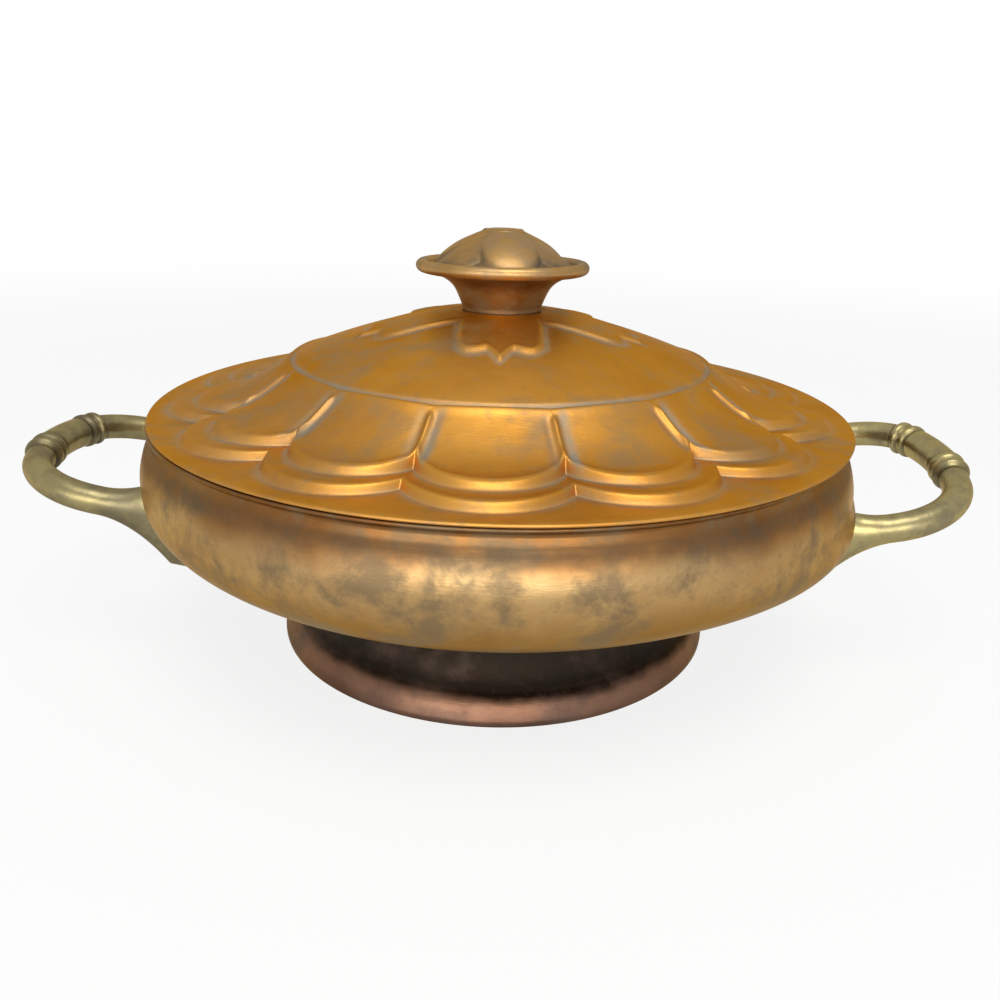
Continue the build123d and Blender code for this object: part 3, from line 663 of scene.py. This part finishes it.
lid_copper = old_metal(
    "lid_copper", clean=(0.59, 0.285, 0.052), worn=(0.51, 0.225, 0.034), dull=(0.31, 0.190, 0.080),
    soil_and_shade_colour=(0.240, 0.220, 0.170), rough=(0.40, 0.60), patch=24.0, brush=(1.0, 8.0, 1.0), cover=0.35, dent=0.10,
    edge=(0.72, 0.52, 0.32),
)
lid_sheet.data.materials.append(lid_copper)
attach(lid_sheet, "lid")
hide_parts("lid")
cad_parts["lid_collar"].data.materials.clear()
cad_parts["lid_collar"].data.materials.append(lid_copper)


# Knob cup: a copper trumpet with its rim rolled over a wire. It is held down by the stud through
# its floor, and is darker and browner than the lid.
knob_seat = dome_top
cup_wall, cup_columns, cap_radius = 1.0, 160, 26.0
rim_radius, rim_height, rim_roll = 28.4, 15.8, 2.1
cup_outline = [
    (stud_hole, 0.0), (7.0, 0.0), (13.3, 0.0), (14.3, 2.5), (16.0, 6.45), (17.5, 9.0), (19.6, 10.9),
    (22.9, 12.7), (26.4, 14.2),
]
cup_outer = smooth_line(cup_outline, 5) + (0, knob_seat)
cup_inner = inner_line(smooth_line(cup_outline, 5), cup_wall) + (0, knob_seat)
roll = np.radians(np.linspace(-128, 175, 26))
rim = np.stack([rim_radius + rim_roll * np.cos(roll), knob_seat + rim_height + rim_roll * np.sin(roll)], 1)
cup_line = np.vstack([cup_outer, rim, cup_inner[cup_inner[:, 0] < cap_radius][::-1]])
apart = np.linalg.norm(np.diff(cup_line, axis=0), axis=1) > 0.02
cup_line = cup_line[np.concatenate([[True], apart])]
cup_rise = cup_line[:, 1] - knob_seat
# The cup is darker at its foot on the lid and just under the rolled rim.
cup_darkening = 0.55 * hump(cup_rise / 1.2) + 0.35 * hump(cup_rise - 13.2)
# Painted shade darkens the rim's two ends, left and right of the camera; its front and back stay bright.
rim_side_shade = np.abs(np.cos(np.linspace(0, 2 * np.pi, cup_columns, endpoint=False))) ** 14
on_rim = step((cup_line[:, 0] - 27.0) / 2.0)
cup_darkening = np.clip(cup_darkening[:, None] + 0.85 * on_rim[:, None] * rim_side_shade, 0, 1)
cup_shell = surface("knob_trumpet", turned(cup_line, cup_columns), cup_darkening, wrap_rows=True)
knob_copper = old_metal(
    "knob_copper", clean=(0.52, 0.325, 0.130), worn=(0.44, 0.250, 0.090), dull=(0.30, 0.205, 0.115),
    soil_and_shade_colour=(0.075, 0.062, 0.046), rough=(0.36, 0.55), patch=40.0, brush=(1.0, 1.0, 6.0), cover=0.40, dent=0.08,
    zones=[(118, (0.80, 0.88, 1.15)), (128, (0.90, 0.95, 1.15)), (132, (1.0, 1.0, 1.0)),
           (147, (0.95, 0.95, 0.9))],
)
cup_shell.data.materials.append(knob_copper)
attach(cup_shell, "lid")
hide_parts("knob_cup")


# Knob cap: a rosette stamped in thin copper, six overlapping petals round a flat bud. It sits inside
# the rolled rim and hides the head of the stud.
cap_top, cap_columns, bud_radius = 28.5, 216, 6.9
petal_middle, petal_long, petal_wide, petal_turn = 13.2, 12.2, 10.4, 0.16
cap_slope = [
    (0.0, 27.0), (5.0, 26.9), (8.0, 25.9), (11.0, 24.5), (14.0, 23.2), (17.0, 21.7), (21.0, 19.3),
    (24.0, 17.3), (cap_radius, 16.4),
]
cap_under = [
    (cap_radius, 15.3), (25.0, 15.3), (22.0, 17.4), (17.0, 20.4), (11.0, 23.2), (6.0, 25.2), (0.0, 25.8),
]


def cap_cone(radius):
    """Height of the cap between its petals: a low cone with a rounded shoulder."""
    line = smooth_line(cap_slope, 6)
    return np.interp(radius, line[:, 0], line[:, 1])


def rosette_height(radius, angle):
    """The low cone, with six pillow-shaped petals in two layers, and a flat round bud in the middle."""
    cone = cap_cone(radius) - 1.7 * step((radius - 6.5) / 1.5)
    height = cone
    for layer_turn, proud in ((math.pi / 3, 2.1), (0.0, 3.4)):
        third = 2 * math.pi / 3
        turned_angle = (angle + math.pi / 2 - petal_turn + layer_turn + third / 2) % third - third / 2
        along, across = radius * np.cos(turned_angle) - petal_middle, radius * np.sin(turned_angle)
        swell = np.clip(1 - np.abs(along / petal_long) ** 2.4 - np.abs(across / petal_wide) ** 2.4, 0, 1)
        height = np.maximum(height, cone - 0.3 + (proud + 0.3) * swell ** 0.36)
    bud = 27.1 + 1.45 * np.clip(1 - (radius / bud_radius) ** 6, 0, 1) ** 0.6
    height = np.where(radius < bud_radius, np.maximum(cone + 0.1, bud), height)
    return knob_seat + np.minimum(height, cap_top)


near_bud, by_bud, over_petals = (0.8, 6.0, 8), (6.3, 7.4, 6), (8.0, cap_radius, 44)
cap_radii = np.concatenate([[0.0]] + [np.linspace(*part) for part in (near_bud, by_bud, over_petals)])
cap_angles = np.linspace(0, 2 * np.pi, cap_columns, endpoint=False)
cap_r = np.repeat(cap_radii[:, None], cap_columns, 1)
cap_z = rosette_height(cap_r, cap_angles[None, :])
under_r, under_z = np.repeat(np.array(cap_under).T[:, :, None], cap_columns, 2)
cap_r, cap_z = np.vstack([cap_r, under_r]), np.vstack([cap_z, under_z + knob_seat])
cap_grid = np.stack([cap_r * np.cos(cap_angles), cap_r * np.sin(cap_angles), cap_z], -1)
# Dirt lies between the petals, and the petals' steep flanks are darker too.
petal_relief = cap_z - knob_seat - cap_cone(cap_r)
petal_flank = np.hypot(np.gradient(petal_relief, axis=0), np.gradient(petal_relief, axis=1)) / 0.45
cap_tarnish_and_darkening = np.clip(0.45 - petal_relief / 1.1, 0, 1) + np.clip(petal_flank - 0.35, 0, 0.8)
cap_tarnish_and_darkening *= step(cap_r - 6.0)
cap_shell = surface("knob_rosette", cap_grid, np.clip(cap_tarnish_and_darkening, 0, 0.9), flip=True)
cap_shell.data.materials.append(knob_copper)
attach(cap_shell, "lid")
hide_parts("knob_cap")
